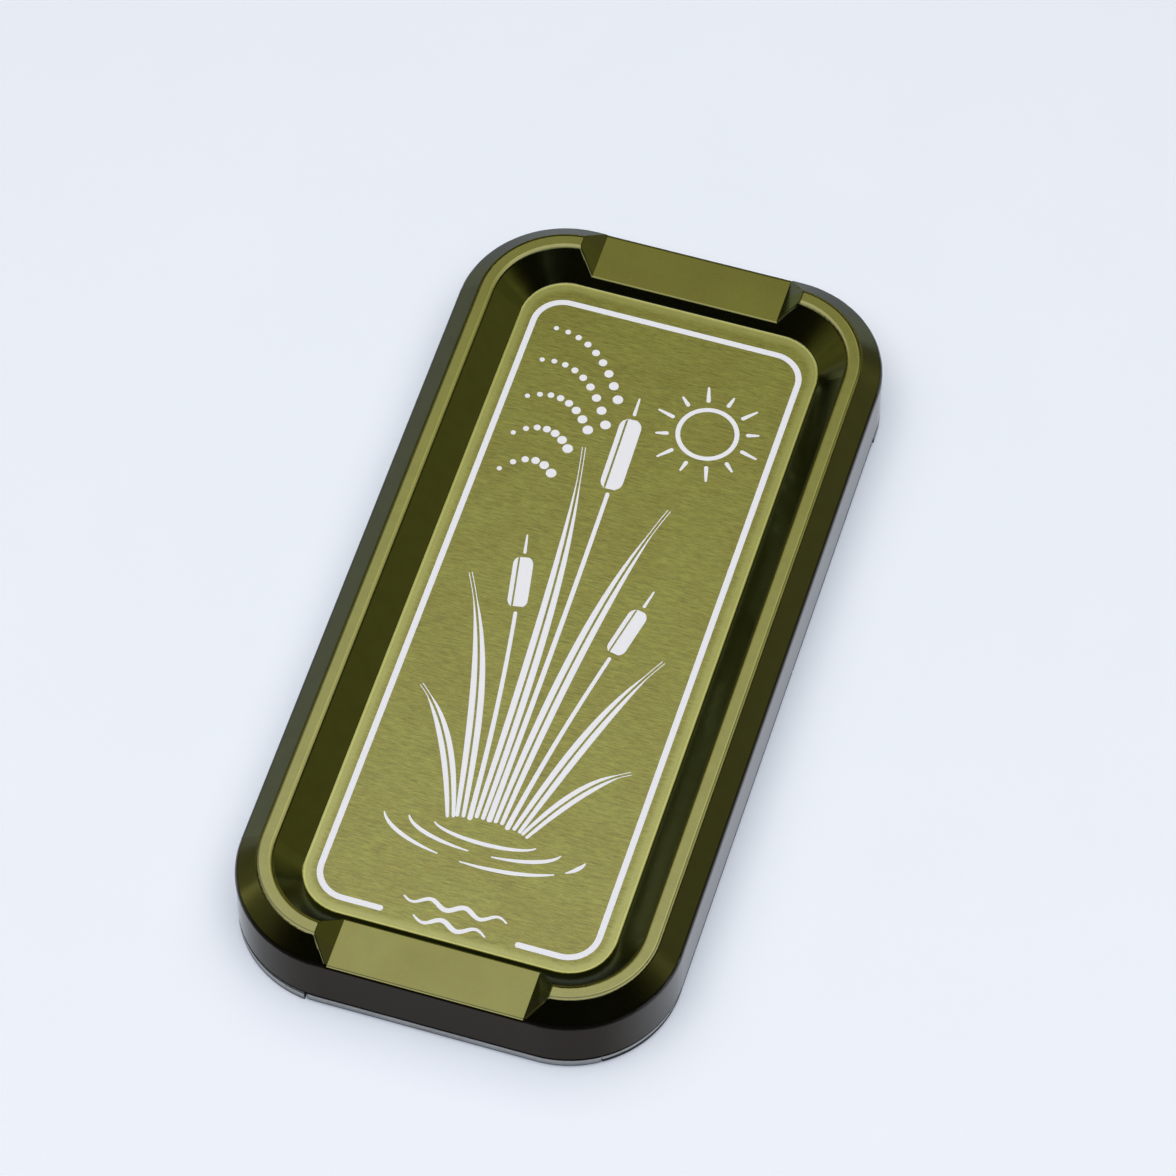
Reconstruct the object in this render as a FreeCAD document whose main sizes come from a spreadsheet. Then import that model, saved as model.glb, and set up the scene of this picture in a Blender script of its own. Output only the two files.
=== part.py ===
"""Slim machined fly box: a deep hinged lid over a thin tray, held shut by magnets.

Millimetres, +Z up.  The origin is on the table under the middle of the box.  X runs across the box, with
the hinge on the -X side, and Y runs along it, with the near end at -Y.
"""
import FreeCAD, Part
import math
import os
import Sketcher

SIZES = [
    ("width", 64.0, "across the lid"),
    ("length", 130.74, "along the lid"),
    ("height", 13.6, "table to rim"),
    ("corner_radius", 16.2, "lid corner, seen from above"),
    ("parting_height", 2.18, "underside of the lid, and height of the hinge axis"),
    ("chamfer_run", 3.21, "outer bevel, inwards"),
    ("chamfer_drop", 2.67, "outer bevel, downwards"),
    ("rim_width", 2.04, "flat rim round the recess"),
    ("recess_run", 4.13, "sloping recess wall, inwards"),
    ("recess_depth", 3.87, "recess floor below the rim"),
    ("rim_round", 1.0, "rounding of the rim's inner edge"),
    ("crest_round", 0.8, "rounding of the rim's outer edge"),
    ("foot_round", 0.9, "rounding of the outer bevel's foot"),
    ("recess_round", 0.35, "hollow at the foot of the recess wall"),
    ("notch_width", 28.2, "flat of a thumb notch"),
    ("notch_cheek", 2.75, "sideways run of a notch's sloping cheek"),
    ("notch_round", 0.4, "rounding of a notch's edges"),
    ("lid_wall", 2.4, "lid wall on three sides"),
    ("hinge_wall", 6.5, "lid wall on the hinge side"),
    ("panel", 1.4, "metal under the recess floor"),
    ("magnet_edge", 5.7, "magnet centre from the corner's outer face"),
    ("magnet_diameter", 4.0, "all four magnets"),
    ("lid_magnet_thick", 2.0, "magnets in the lid"),
    ("base_magnet_thick", 0.9, "magnets in the tray"),
    ("boss_diameter", 7.2, "magnet bosses in lid and tray"),
    ("glue_line", 0.03, "room round what is glued in"),
    ("seat_gap", 0.05, "lid underside above the tray's rim"),
    ("tray_floor", 1.0, "tray floor"),
    ("lip_clearance", 0.3, "between the tray's lip and the lid"),
    ("lip_thick", 1.2, "tray lip"),
    ("lip_rise", 1.0, "tray lip above the parting"),
    ("seal_thick", 1.2, "edge seal, inwards"),
    ("seal_lift", 0.2, "edge seal above the table"),
    ("seal_gap", 0.25, "edge seal below the lid"),
    ("seal_inset", 0.22, "how far back most of the edge seal lies"),
    ("seal_joint_gap", 0.22, "open joint between two lengths of seal"),
    ("near_joint", 17.5, "joint in the near end, left of the middle"),
    ("corner_joint_run", 8.9, "joint on the near right corner, right of the corner's centre"),
    ("corner_joint_drop", 13.6, "the same joint, in front of the corner's centre"),
    ("right_joint", 6.25, "joint in the right side, beyond the middle"),
    ("far_joint", 1.27, "joint in the right side, before the far corner"),
    ("hinge_length", 80.0, "hinge along the left side"),
    ("hinge_offset", 0.2, "hinge axis outside the lid wall"),
    ("hinge_clearance", 0.25, "room round and between the knuckles"),
    ("knuckle_diameter", 2.5, "hinge barrel"),
    ("pin_diameter", 1.2, "hinge pin"),
    ("pin_clearance", 0.05, "pin in the lid's knuckles, on the radius"),
    ("pin_seat", 0.01, "pin in the tray's knuckles, on the radius"),
    ("leaf_thick", 0.6, "hinge leaves"),
    ("leaf_width", 4.2, "flat of a hinge leaf"),
    ("leaf_gap", 0.05, "each leaf's face from the axis plane"),
    ("screw_diameter", 1.6, "screw shank"),
    ("screw_head", 2.6, "countersunk head"),
    ("screw_socket", 0.9, "hexagon socket, across corners"),
    ("screw_socket_depth", 0.35, "hexagon socket"),
    ("screw_spacing", 26.0, "from screw to screw"),
    ("lid_screw_length", 3.6, "lid screw, with its head"),
    ("base_screw_length", 1.7, "tray screw, with its head"),
    ("mat_margin", 0.3, "mat and sheet from the walls round them"),
    ("mat_thick", 0.7, "fly mat between its ribs"),
    ("rib_rise", 1.2, "rib above the mat"),
    ("rib_width", 2.4, "rib across"),
    ("rib_row_end", 9.57, "middle of the last rib from the mat's end"),
    ("rib_end", 3.0, "rib's end from the mat's side"),
    ("slit_width", 0.3, "hook slit"),
    ("slit_depth", 1.0, "hook slit"),
    ("slit_row_end", 3.55, "middle of the last slit from the rib's end"),
    ("sheet_thick", 0.7, "sheet in the lid"),
]
KNUCKLES = 5
SCREWS = 3
RIBS = 13
SLITS = 13
DIAGONAL = math.sqrt(0.5)
COUNTERSINK = "-45 deg"
OUTSIDE = 1.5
TOUCH = 1e-5
NEAR = 1e-2


class Size:
    """A length kept as a number, to draw with, and as a sheet expression, to bind with."""

    def __init__(self, number, text):
        self.number = number
        self.text = text

    def join(self, other, sign, result):
        text = other.text if isinstance(other, Size) else str(other)
        return Size(result, f"({self.text} {sign} {text})")

    def __add__(self, other):
        return self.join(other, "+", self.number + plain(other))

    def __sub__(self, other):
        return self.join(other, "-", self.number - plain(other))

    def __mul__(self, other):
        return self.join(other, "*", self.number * plain(other))

    def __truediv__(self, other):
        return self.join(other, "/", self.number / plain(other))

    def __neg__(self):
        return Size(-self.number, f"(0 - {self.text})")


def plain(value):
    """The number in a size, or the number itself."""
    return value.number if isinstance(value, Size) else value


doc = FreeCAD.newDocument("fly_box")
sheet = doc.addObject("Spreadsheet::Sheet", "Sizes")
size = {}
for row, (alias, number, note) in enumerate(SIZES, start=1):
    sheet.set(f"A{row}", alias)
    sheet.set(f"B{row}", str(number))
    sheet.setAlias(f"B{row}", alias)
    sheet.set(f"C{row}", note)
    size[alias] = Size(number, f"Sizes.{alias}")
doc.recompute()

ZERO = Size(0.0, "0")
half_width = size["width"] / 2
half_length = size["length"] / 2
corner = size["corner_radius"]
corner_x = half_width - corner
corner_y = half_length - corner
parting = size["parting_height"]
height = size["height"]
bevel_foot = height - size["chamfer_drop"]
recess_floor = height - size["recess_depth"]
ceiling = recess_floor - size["panel"]
rim_inset = size["chamfer_run"] + size["rim_width"]
tray_top = parting - size["seat_gap"]
tray_inset = size["seal_thick"] + size["glue_line"]
lip_inset = size["lid_wall"] + size["lip_clearance"]
lip_left = half_width - size["hinge_wall"] - size["lip_clearance"]
magnet_out = (corner - size["magnet_edge"]) * DIAGONAL
magnet_x = corner_x + magnet_out
magnet_y = corner_y + magnet_out
axis_x = -half_width - size["hinge_offset"]
barrel_room = size["knuckle_diameter"] / 2 + size["hinge_clearance"]
leaf_start = axis_x + barrel_room
leaf_end = leaf_start + size["leaf_width"]
screw_x = leaf_start + size["leaf_width"] / 2
leaf_far_face = size["leaf_gap"] + size["leaf_thick"]
knuckle_pitch = size["hinge_length"] / KNUCKLES
mat_inset = lip_inset + size["lip_thick"] + size["mat_margin"]
mat_left = lip_left - size["lip_thick"] - size["mat_margin"]
mat_top = size["tray_floor"] + size["mat_thick"]


def bind(item, **values):
    """Tie an object's properties to the sheet; a double underscore in a name stands for a dot."""
    for name, value in values.items():
        item.setExpression(name.replace("__", "."), value.text)


def new_body(label):
    body = doc.addObject("PartDesign::Body", label)
    body.Label = label
    return body


def new_sketch(body, plane, lift=ZERO):
    """A sketch on one of the body's own origin planes, raised along the plane's normal."""
    support = [item for item in body.Origin.OriginFeatures if item.Role == plane][0]
    sketch = body.newObject("Sketcher::SketchObject", body.Label + "_sketch")
    sketch.AttachmentSupport = [(support, "")]
    sketch.MapMode = "FlatFace"
    bind(sketch, AttachmentOffset__Base__z=lift)
    return sketch


def constrain(sketch, kind, *references, value=None):
    if value is None:
        return sketch.addConstraint(Sketcher.Constraint(kind, *references))
    index = sketch.addConstraint(Sketcher.Constraint(kind, *references, value.number))
    sketch.setExpression(f"Constraints[{index}]", value.text)
    return index


def pin_point(sketch, curve, point, x, y):
    """Fix a point of a curve by its distances from the sketch's origin."""
    constrain(sketch, "DistanceX", -1, 1, curve, point, value=x)
    constrain(sketch, "DistanceY", -1, 1, curve, point, value=y)


def add_polygon(sketch, points):
    """A closed outline of straight lines through points given as pairs of sizes."""
    first = sketch.GeometryCount
    count = len(points)
    spots = [FreeCAD.Vector(x.number, y.number, 0) for x, y in points]
    for i in range(count):
        sketch.addGeometry(Part.LineSegment(spots[i], spots[(i + 1) % count]), False)
    for i, (x, y) in enumerate(points):
        constrain(sketch, "Coincident", first + i, 2, first + (i + 1) % count, 1)
        pin_point(sketch, first + i, 1, x, y)


def add_rectangle(sketch, left, right, low, high):
    add_polygon(sketch, [(left, low), (right, low), (right, high), (left, high)])


def add_circle(sketch, x, y, radius):
    center = FreeCAD.Vector(x.number, y.number, 0)
    curve = sketch.addGeometry(Part.Circle(center, FreeCAD.Vector(0, 0, 1), radius.number), False)
    pin_point(sketch, curve, 3, x, y)
    constrain(sketch, "Radius", curve, value=radius)


def add_rounded(sketch, left, right, half_y, radius):
    """A rectangle with round corners, symmetric about X: four tangent lines and arcs."""
    first = sketch.GeometryCount
    x0, x1, y1, r = left.number, right.number, half_y.number, radius.number
    up = FreeCAD.Vector(0, 0, 1)
    quarter = math.pi / 2
    lines = [((x0 + r, -y1), (x1 - r, -y1)), ((x1, -y1 + r), (x1, y1 - r)),
             ((x1 - r, y1), (x0 + r, y1)), ((x0, y1 - r), (x0, -y1 + r))]
    centers = [(x1 - r, -y1 + r), (x1 - r, y1 - r), (x0 + r, y1 - r), (x0 + r, -y1 + r)]
    for i in range(4):
        ends = [FreeCAD.Vector(*spot, 0) for spot in lines[i]]
        sketch.addGeometry(Part.LineSegment(*ends), False)
        circle = Part.Circle(FreeCAD.Vector(*centers[i], 0), up, r)
        sketch.addGeometry(Part.ArcOfCircle(circle, (i - 1) * quarter, i * quarter), False)
    for i in range(4):
        line = first + 2 * i
        following = first + (2 * i + 2) % 8
        constrain(sketch, "Tangent", line, 2, line + 1, 1)
        constrain(sketch, "Tangent", line + 1, 2, following, 1)
        constrain(sketch, "Radius", line + 1, value=radius)
        constrain(sketch, "Vertical" if i % 2 else "Horizontal", line)
    constrain(sketch, "DistanceY", -1, 1, first, 1, value=-half_y)
    constrain(sketch, "DistanceX", -1, 1, first + 2, 1, value=right)
    constrain(sketch, "DistanceY", -1, 1, first + 4, 1, value=half_y)
    constrain(sketch, "DistanceX", -1, 1, first + 6, 1, value=left)


def add_outline(sketch, inset):
    """The lid's outline, moved inwards."""
    add_rounded(sketch, inset - half_width, half_width - inset, half_length - inset, corner - inset)


def pad(body, sketch, length, taper=None, symmetric=False, down=False):
    feature = body.newObject("PartDesign::Pad", body.Label + "_pad")
    return extrude(feature, sketch, length, taper, symmetric, down)


def pocket(body, sketch, length=None, taper=None, symmetric=False, up=False, may_miss=False):
    """Cut a sketch out of the body, downwards unless told otherwise; with no length, right through."""
    feature = body.newObject("PartDesign::Pocket", body.Label + "_pocket")
    if length is None:
        feature.Type = "ThroughAll"
    extrude(feature, sketch, length, taper, symmetric, up)
    before = feature.BaseFeature.Shape.Volume
    if not may_miss and not feature.Shape.Volume < before:
        raise RuntimeError(f"{feature.Label} in {body.Label} cuts nothing")
    return feature


def extrude(feature, sketch, length, taper, symmetric, reverse):
    feature.Profile = sketch
    feature.Reversed = reverse
    if symmetric:
        feature.SideType = "Symmetric"
    if length is not None:
        bind(feature, Length=length)
    if taper is not None:
        feature.setExpression("TaperAngle", taper)
    doc.recompute()
    return feature


def round_edges(body, base, chosen, radius):
    """Round the edges of a feature whose end points and middle all pass a test."""
    names = []
    for number, edge in enumerate(base.Shape.Edges, start=1):
        ends = [edge.valueAt(at) for at in edge.ParameterRange]
        middle = edge.valueAt(sum(edge.ParameterRange) / 2)
        if chosen(ends[0], middle, ends[1]):
            names.append(f"Edge{number}")
    feature = body.newObject("PartDesign::Fillet", body.Label + "_round")
    feature.Base = (base, names)
    bind(feature, Radius=radius)
    doc.recompute()
    return feature


def inset_at(point):
    """How far in from the lid's outline a point lies, seen from above."""
    past_x = max(abs(point.x) - corner_x.number, 0.0)
    past_y = max(abs(point.y) - corner_y.number, 0.0)
    return corner.number - math.hypot(past_x, past_y)


def round_lid(level, inset):
    """A test for edges that run round the lid at a level, so far in from its outline."""
    def chosen(*points):
        at_level = all(abs(point.z - level.number) < TOUCH for point in points)
        return at_level and all(abs(inset_at(point) - inset.number) < NEAR for point in points)
    return chosen


def on_notch_edge(*points):
    """Whether points lie on a long edge of a notch's floor or on an outer edge of its cheeks."""
    lean = size["notch_cheek"].number / size["chamfer_drop"].number
    flat = size["notch_width"].number / 2
    rises = [point.z - bevel_foot.number for point in points]
    on_cheek = all(abs(abs(p.x) - flat - rise * lean) < TOUCH for p, rise in zip(points, rises))
    on_floor = all(abs(rise) < TOUCH for rise in rises)
    across = abs(points[0].x + points[-1].x) < TOUCH and abs(abs(points[0].x) - flat) < TOUCH
    return across if on_floor else on_cheek


def magnet_spots():
    """Near and far magnet centres, both at the corners that open."""
    return {"near": (magnet_x, -magnet_y), "far": (magnet_x, magnet_y)}


def add_magnet_circles(sketch, radius):
    for x, y in magnet_spots().values():
        add_circle(sketch, x, y, radius)


def cut_barrel_room(body, may_miss=False):
    """Hollow out the edge along the hinge, round the barrel."""
    sketch = new_sketch(body, "XZ_Plane")
    add_circle(sketch, axis_x, parting, barrel_room)
    along = size["hinge_length"] + size["hinge_clearance"] * 2
    pocket(body, sketch, along, symmetric=True, may_miss=may_miss)


def cut_leaf_seat(body, sketch_level, depth, up):
    """A flat seat for a hinge leaf, open towards the barrel, and holes for its screws."""
    half = size["hinge_length"] / 2 + size["hinge_clearance"]
    sketch = new_sketch(body, "XY_Plane", sketch_level)
    add_rectangle(sketch, axis_x, leaf_end + size["hinge_clearance"], -half, half)
    pocket(body, sketch, depth, up=up)


def screw_rows():
    """Distances of the hinge screws from the middle of the hinge."""
    return [size["screw_spacing"] * (i - (SCREWS - 1) / 2) for i in range(SCREWS)]


def drill_screw_holes(body, sketch_level, depth, up):
    sketch = new_sketch(body, "XY_Plane", sketch_level)
    for y in screw_rows():
        add_circle(sketch, screw_x, y, size["screw_diameter"] / 2 + size["glue_line"])
    pocket(body, sketch, depth, up=up)


def make_lid_shell():
    body = new_body("lid_shell")
    walls = new_sketch(body, "XY_Plane", parting)
    add_outline(walls, ZERO)
    pad(body, walls, bevel_foot - parting)
    bevel = new_sketch(body, "XY_Plane", bevel_foot)
    add_outline(bevel, ZERO)
    block = pad(body, bevel, size["chamfer_drop"], taper="-1 * atan(Sizes.chamfer_run / Sizes.chamfer_drop)")
    block = round_edges(body, block, round_lid(bevel_foot, ZERO), size["foot_round"])
    round_edges(body, block, round_lid(height, size["chamfer_run"]), size["crest_round"])
    recess = new_sketch(body, "XY_Plane", height)
    add_outline(recess, rim_inset)
    cut = pocket(body, recess, size["recess_depth"],
                 taper="-1 * atan(Sizes.recess_run / Sizes.recess_depth)")
    cut = round_edges(body, cut, round_lid(height, rim_inset), size["rim_round"])
    round_edges(body, cut, round_lid(recess_floor, rim_inset + size["recess_run"]), size["recess_round"])
    notch = new_sketch(body, "XZ_Plane")
    flat = size["notch_width"] / 2
    reach = flat + size["notch_cheek"] * 2
    above = height + size["chamfer_drop"]
    add_polygon(notch, [(-flat, bevel_foot), (flat, bevel_foot), (reach, above), (-reach, above)])
    cut = pocket(body, notch, symmetric=True)
    round_edges(body, cut, on_notch_edge, size["notch_round"])
    hollow = new_sketch(body, "XY_Plane", parting)
    wall = size["lid_wall"]
    add_rounded(hollow, size["hinge_wall"] - half_width, half_width - wall, half_length - wall, corner - wall)
    pocket(body, hollow, ceiling - parting, up=True)
    bosses = new_sketch(body, "XY_Plane", parting)
    add_magnet_circles(bosses, size["boss_diameter"] / 2)
    pad(body, bosses, ceiling - parting)
    seats = new_sketch(body, "XY_Plane", parting)
    add_magnet_circles(seats, size["magnet_diameter"] / 2 + size["glue_line"])
    pocket(body, seats, size["lid_magnet_thick"], up=True)
    cut_leaf_seat(body, parting, leaf_far_face, up=True)
    cut_barrel_room(body)
    drill_screw_holes(body, parting, size["leaf_gap"] + size["lid_screw_length"], up=True)
    return body


def make_base_tray():
    body = new_body("base_tray")
    plate = new_sketch(body, "XY_Plane")
    add_outline(plate, tray_inset)
    pad(body, plate, tray_top)
    lip = new_sketch(body, "XY_Plane")
    add_rounded(lip, -lip_left, half_width - lip_inset, half_length - lip_inset, corner - lip_inset)
    lip_top = parting + size["lip_rise"]
    pad(body, lip, lip_top)
    hollow = new_sketch(body, "XY_Plane", lip_top)
    inner = lip_inset + size["lip_thick"]
    add_rounded(hollow, size["lip_thick"] - lip_left, half_width - inner, half_length - inner, corner - inner)
    pocket(body, hollow, lip_top - size["tray_floor"])
    bosses = new_sketch(body, "XY_Plane")
    add_magnet_circles(bosses, size["boss_diameter"] / 2)
    pad(body, bosses, tray_top)
    room = new_sketch(body, "XY_Plane", lip_top)
    add_magnet_circles(room, size["boss_diameter"] / 2 + size["lip_clearance"])
    pocket(body, room, lip_top - tray_top)
    seats = new_sketch(body, "XY_Plane", tray_top)
    add_magnet_circles(seats, size["magnet_diameter"] / 2 + size["glue_line"])
    pocket(body, seats, size["base_magnet_thick"])
    cut_barrel_room(body, may_miss=True)
    cut_leaf_seat(body, tray_top, leaf_far_face - size["seat_gap"], up=False)
    drill_screw_holes(body, tray_top, size["base_screw_length"], up=False)
    return body


def make_hinge_leaf(label, side, first_station, bore_clearance):
    """A leaf above (side 1) or below (side -1) the axis, with every second knuckle from first_station."""
    body = new_body(label)
    near_face = parting + size["leaf_gap"] * side
    far_face = parting + leaf_far_face * side
    flat = new_sketch(body, "XZ_Plane")
    add_rectangle(flat, axis_x, leaf_end, near_face, far_face)
    pad(body, flat, size["hinge_length"], symmetric=True)
    barrel = new_sketch(body, "XZ_Plane")
    add_circle(barrel, axis_x, parting, size["knuckle_diameter"] / 2)
    pad(body, barrel, size["hinge_length"], symmetric=True)
    bore = new_sketch(body, "XZ_Plane")
    add_circle(bore, axis_x, parting, size["pin_diameter"] / 2 + bore_clearance)
    pocket(body, bore, symmetric=True)
    gaps = new_sketch(body, "XY_Plane", parting)
    for station in range(1 - first_station, KNUCKLES, 2):
        middle = knuckle_pitch * (station - (KNUCKLES - 1) / 2)
        half = knuckle_pitch / 2 + size["hinge_clearance"] / 2
        add_rectangle(gaps, axis_x - barrel_room, leaf_start, middle - half, middle + half)
    pocket(body, gaps, symmetric=True)
    sinks = new_sketch(body, "XY_Plane", near_face)
    for y in screw_rows():
        add_circle(sinks, screw_x, y, size["screw_head"] / 2 + size["glue_line"])
    head_height = (size["screw_head"] - size["screw_diameter"]) / 2
    pocket(body, sinks, head_height, taper=COUNTERSINK, up=side > 0)
    holes = new_sketch(body, "XY_Plane", near_face)
    for y in screw_rows():
        add_circle(holes, screw_x, y, size["screw_diameter"] / 2 + size["glue_line"])
    pocket(body, holes, symmetric=True)
    return body


def make_hinge_screws(label, side, length):
    """Three countersunk screws with hexagon sockets, heads at the leaf's face."""
    screws = []
    face = parting + size["leaf_gap"] * side
    head_height = (size["screw_head"] - size["screw_diameter"]) / 2
    for number, y in enumerate(screw_rows(), start=1):
        head = doc.addObject("Part::Cone", f"{label}_head")
        bind(head, Radius1=size["screw_head"] / 2, Radius2=size["screw_diameter"] / 2, Height=head_height)
        shank = doc.addObject("Part::Cylinder", f"{label}_shank")
        bind(shank, Radius=size["screw_diameter"] / 2, Height=length)
        socket = doc.addObject("Part::Prism", f"{label}_socket")
        socket.Polygon = 6
        bind(socket, Circumradius=size["screw_socket"] / 2, Height=size["screw_socket_depth"])
        joined = doc.addObject("Part::Fuse", f"{label}_joined")
        joined.Base = head
        joined.Tool = shank
        screw = doc.addObject("Part::Cut", f"{label}_screw_{number}")
        screw.Base = joined
        screw.Tool = socket
        if side < 0:
            screw.Placement.Rotation = FreeCAD.Rotation(FreeCAD.Vector(1, 0, 0), 180)
        bind(screw, Placement__Base__x=screw_x, Placement__Base__y=y, Placement__Base__z=face)
        screws.append(screw)
    group = doc.addObject("Part::Compound", label)
    group.Label = label
    group.Links = screws
    return group


def make_hinge_pin():
    pin = doc.addObject("Part::Cylinder", "hinge_pin")
    pin.Label = "hinge_pin"
    pin.Placement.Rotation = FreeCAD.Rotation(FreeCAD.Vector(1, 0, 0), -90)
    bind(pin, Radius=size["pin_diameter"] / 2, Height=size["hinge_length"], Placement__Base__x=axis_x,
         Placement__Base__y=-size["hinge_length"] / 2, Placement__Base__z=parting)
    return pin


def make_magnet(label, spot, foot, thick):
    magnet = doc.addObject("Part::Cylinder", label)
    magnet.Label = label
    bind(magnet, Radius=size["magnet_diameter"] / 2, Height=thick, Placement__Base__x=spot[0],
         Placement__Base__y=spot[1], Placement__Base__z=foot)
    return magnet


def make_magnets():
    magnets = []
    for end, spot in magnet_spots().items():
        magnets.append(make_magnet(f"lid_magnet_{end}", spot, parting, size["lid_magnet_thick"]))
        foot = tray_top - size["base_magnet_thick"]
        magnets.append(make_magnet(f"base_magnet_{end}", spot, foot, size["base_magnet_thick"]))
    return magnets


def clear_bosses(body, level, room):
    """Cut a mat back from the magnet bosses that stand beside it."""
    sketch = new_sketch(body, "XY_Plane", level)
    add_magnet_circles(sketch, size["boss_diameter"] / 2 + room)
    pocket(body, sketch, symmetric=True)


def spread(first, last, count):
    """Evenly spaced places from first to last."""
    return [first + (last - first) * (i / (count - 1)) for i in range(count)]


def make_base_fly_mat():
    body = new_body("base_fly_mat")
    outline = new_sketch(body, "XY_Plane", size["tray_floor"])
    right = half_width - mat_inset
    end = half_length - mat_inset
    add_rounded(outline, -mat_left, right, end, corner - mat_inset)
    pad(body, outline, size["mat_thick"])
    clear_bosses(body, size["tray_floor"], size["mat_margin"])
    ribs = new_sketch(body, "XY_Plane", mat_top)
    rib_left = size["rib_end"] - mat_left
    rib_right = right - size["rib_end"]
    half = size["rib_width"] / 2
    for y in spread(size["rib_row_end"] - end, end - size["rib_row_end"], RIBS):
        add_rectangle(ribs, rib_left, rib_right, y - half, y + half)
    pad(body, ribs, size["rib_rise"])
    slits = new_sketch(body, "XY_Plane", mat_top + size["rib_rise"])
    half = size["slit_width"] / 2
    for x in spread(rib_left + size["slit_row_end"], rib_right - size["slit_row_end"], SLITS):
        add_rectangle(slits, x - half, x + half, -half_length, half_length)
    pocket(body, slits, size["slit_depth"])
    return body


def make_lid_fly_sheet():
    body = new_body("lid_fly_sheet")
    inset = size["lid_wall"] + size["mat_margin"]
    left = size["hinge_wall"] + size["mat_margin"] - half_width
    outline = new_sketch(body, "XY_Plane", ceiling)
    add_rounded(outline, left, half_width - inset, half_length - inset, corner - inset)
    pad(body, outline, size["sheet_thick"], down=True)
    clear_bosses(body, ceiling, size["mat_margin"])
    return body


def make_edge_seal(label, inset, lift, keep):
    """One length of the strip round the tray: the part of the whole ring that lies inside keep."""
    body = new_body(label)
    ring = new_sketch(body, "XY_Plane", lift)
    add_outline(ring, inset)
    add_outline(ring, size["seal_thick"])
    pad(body, ring, parting - size["seal_gap"] - lift)
    rest = new_sketch(body, "XY_Plane", parting)
    add_rectangle(rest, -size["width"], size["width"], -size["length"], size["length"])
    add_polygon(rest, keep)
    pocket(body, rest, symmetric=True)
    return body


def make_edge_seals():
    """Five lengths of strip, meeting at the joints and stopping at both ends of the hinge."""
    out_x = half_width * OUTSIDE
    out_y = half_length * OUTSIDE
    gap = size["seal_joint_gap"] / 2
    near = -size["near_joint"]
    bend = (corner_x, -corner_y)
    bend_out = (corner_x + size["corner_joint_run"] * 2, -corner_y - size["corner_joint_drop"] * 2)
    right = size["right_joint"]
    far = corner_y - size["far_joint"]
    hinge_end = size["hinge_length"] / 2 + size["hinge_clearance"] * 2
    inset = size["seal_inset"]
    lift = size["seal_lift"]
    lengths = {
        "edge_seal_near": (inset, lift, [(near + gap, -out_y), (bend_out[0], -out_y), bend_out, bend,
                                         (near + gap, -corner_y)]),
        "edge_seal_right_near": (inset, lift, [bend, bend_out, (out_x, bend_out[1]), (out_x, right - gap),
                                               (corner_x, right - gap)]),
        "edge_seal_right_far": (inset, lift, [(corner_x, right + gap), (out_x, right + gap),
                                              (out_x, far - gap), (corner_x, far - gap)]),
        "edge_seal_far": (size["glue_line"], lift, [(corner_x, far + gap), (out_x, far + gap), (out_x, out_y),
                                                    (-out_x, out_y), (-out_x, hinge_end),
                                                    (-corner_x, hinge_end)]),
        "edge_seal_left": (size["glue_line"], lift / 2, [(-corner_x, -hinge_end), (-out_x, -hinge_end),
                                                         (-out_x, -out_y), (near - gap, -out_y),
                                                         (near - gap, -corner_y)]),
    }
    return [make_edge_seal(label, *values) for label, values in lengths.items()]


nodes = [
    make_lid_shell(),
    make_base_tray(),
    make_hinge_leaf("lid_hinge_leaf", 1, 1, size["pin_clearance"]),
    make_hinge_leaf("base_hinge_leaf", -1, 0, size["pin_seat"]),
    make_hinge_screws("lid_hinge_screws", 1, size["lid_screw_length"]),
    make_hinge_screws("base_hinge_screws", -1, size["base_screw_length"]),
    make_hinge_pin(),
    make_base_fly_mat(),
    make_lid_fly_sheet(),
]
nodes += make_magnets()
nodes += make_edge_seals()
doc.recompute()

for item in doc.Objects:
    if "Invalid" in item.State or "Error" in item.State:
        raise RuntimeError(f"{item.Label} failed: {item.State}")
for node in nodes:
    if node.Shape.isNull() or not node.Shape.isValid():
        raise RuntimeError(f"{node.Label} has no valid shape")

os.makedirs("parts", exist_ok=True)
for node in nodes:
    node.Shape.exportStep(f"parts/{node.Label}.step")
    print(node.Label, len(node.Shape.Solids), round(node.Shape.Volume, 2))
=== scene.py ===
"""Looks of the slim fly box: its finishes, white inlay and rubber pieces, dressed on the CAD frame.

Metres in the CAD frame: X across the box from the hinge, Y along it to the far end, Z up from the table.
Sizes that belong to the lid's zones, the grey strip and the drawing on the panel are written in millimetres.
"""

from math import cos, pi, radians, sin, sqrt

import bmesh
import bpy
from bpy.props import FloatProperty, FloatVectorProperty, PointerProperty
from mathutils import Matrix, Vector


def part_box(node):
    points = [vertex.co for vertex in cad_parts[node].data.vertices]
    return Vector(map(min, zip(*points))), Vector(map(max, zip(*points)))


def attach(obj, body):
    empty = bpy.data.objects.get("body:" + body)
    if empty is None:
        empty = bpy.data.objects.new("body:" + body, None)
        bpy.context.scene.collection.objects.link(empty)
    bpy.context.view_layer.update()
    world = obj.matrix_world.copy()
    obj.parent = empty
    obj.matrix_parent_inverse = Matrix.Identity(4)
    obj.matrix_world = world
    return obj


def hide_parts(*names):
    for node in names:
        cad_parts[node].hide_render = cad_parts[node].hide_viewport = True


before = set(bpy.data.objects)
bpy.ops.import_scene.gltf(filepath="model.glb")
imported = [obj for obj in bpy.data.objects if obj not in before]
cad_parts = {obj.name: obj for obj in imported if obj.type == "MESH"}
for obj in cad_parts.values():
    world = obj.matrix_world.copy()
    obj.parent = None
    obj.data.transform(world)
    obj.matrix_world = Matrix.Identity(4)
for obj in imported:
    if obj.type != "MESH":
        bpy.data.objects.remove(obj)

bl_info = {
    "name": "Fly Box",
    "version": (1, 0, 0),
    "blender": (4, 5, 0),
    "location": "View3D > Sidebar > Fly Box",
    "description": "Dresses the packed fly box with its finishes, inlay, rubber pieces and studio",
    "category": "Object",
}

MM = 0.001

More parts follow.
